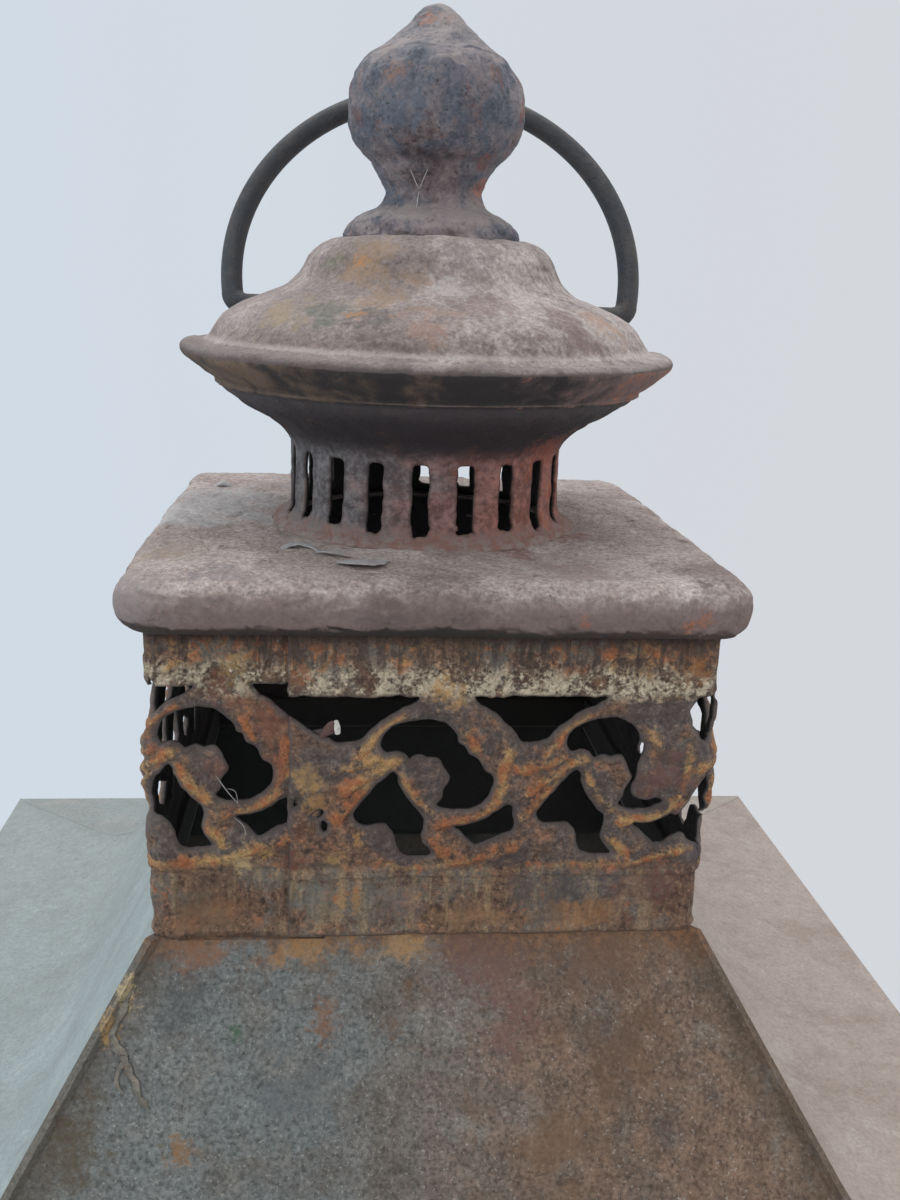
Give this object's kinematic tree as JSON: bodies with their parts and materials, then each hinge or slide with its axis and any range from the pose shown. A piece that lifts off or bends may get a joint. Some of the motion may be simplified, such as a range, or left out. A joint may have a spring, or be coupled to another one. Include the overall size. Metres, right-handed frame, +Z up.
{
  "type": "candle lantern",
  "caption": "Square metal candle lantern with a glazed door, bell-cast hipped roof, pierced scroll gallery, vented domed crown, swirled finial and swinging ring handle.",
  "frame": {"origin": "centre of the footprint, on the floor under the feet", "axes": "+Z up to the finial; -Y out through the glazed door at the front; +X to the right as seen from the front"},
  "size_m": [0.334, 0.334, 0.6527],
  "materials": {
    "cast": "weathered cast iron with brown streaks",
    "bar": "dark wrought iron bar, rusted brown",
    "crown_sheet": "dusty grey paint over rust",
    "collar_sheet": "grey paint worn to red-brown rust",
    "gallery_sheet": "orange and ochre rust over dark grey",
    "roof_sheet": "speckled grey paint, brown at the seams",
    "frame_strip": "dusty dark grey paint",
    "hardware": "rusty steel under old grey paint",
    "glass": "clear window glass with dust"
  },
  "bodies": {
    "lantern": {"finial": "cast", "finial_stud": "hardware", "crown_washer": "hardware", "crown_nut": "hardware", "dome_cap": "crown_sheet", "vent_collar": "collar_sheet", "top_plate": "crown_sheet", "pierced_gallery": "gallery_sheet", "roof_panel_front": "roof_sheet", "roof_panel_right": "roof_sheet", "roof_panel_back": "roof_sheet", "roof_panel_left": "roof_sheet", "head_band": "frame_strip", "post_front_left": "frame_strip", "post_front_right": "frame_strip", "post_back_left": "frame_strip", "post_back_right": "frame_strip", "sill_band": "frame_strip", "frame_rivets": "hardware", "pane_left": "glass", "pane_right": "glass", "pane_back": "glass", "glass_clips": "frame_strip", "post_hinge_upper": "hardware", "post_hinge_lower": "hardware", "hinge_pin_upper": "hardware", "hinge_pin_lower": "hardware", "latch_keeper": "hardware", "floor_pan": "frame_strip", "candle_cup": "hardware", "candle_spike": "hardware", "base_skirt": "frame_strip", "foot_front_left": "cast", "foot_front_right": "cast", "foot_back_left": "cast", "foot_back_right": "cast", "foot_screws": "hardware"},
    "ring": {"ring_handle": "bar"},
    "door": {"door_frame": "frame_strip", "door_pane": "glass", "door_clips": "frame_strip", "door_hinge_upper": "hardware", "door_hinge_lower": "hardware", "latch_rivet": "hardware"},
    "latch": {"latch_tongue": "hardware", "latch_knob": "hardware"}
  },
  "joints": [
    {"name": "ring_swing", "type": "hinge", "parent": "lantern", "child": "ring", "pos_m": [0.001, 0.01427, 0.5765], "axis": [-0.9976, 0.0698, 0], "range_deg": [-26, 66]},
    {"name": "door_swing", "type": "hinge", "parent": "lantern", "child": "door", "pos_m": [-0.0955, -0.1204, 0.191], "axis": [0, 0, -1], "range_deg": [0, 110]},
    {"name": "latch_turn", "type": "hinge", "parent": "door", "child": "latch", "pos_m": [0.088, -0.1185, 0.19], "axis": [0, -1, 0], "range_deg": [0, 90]}
  ]
}
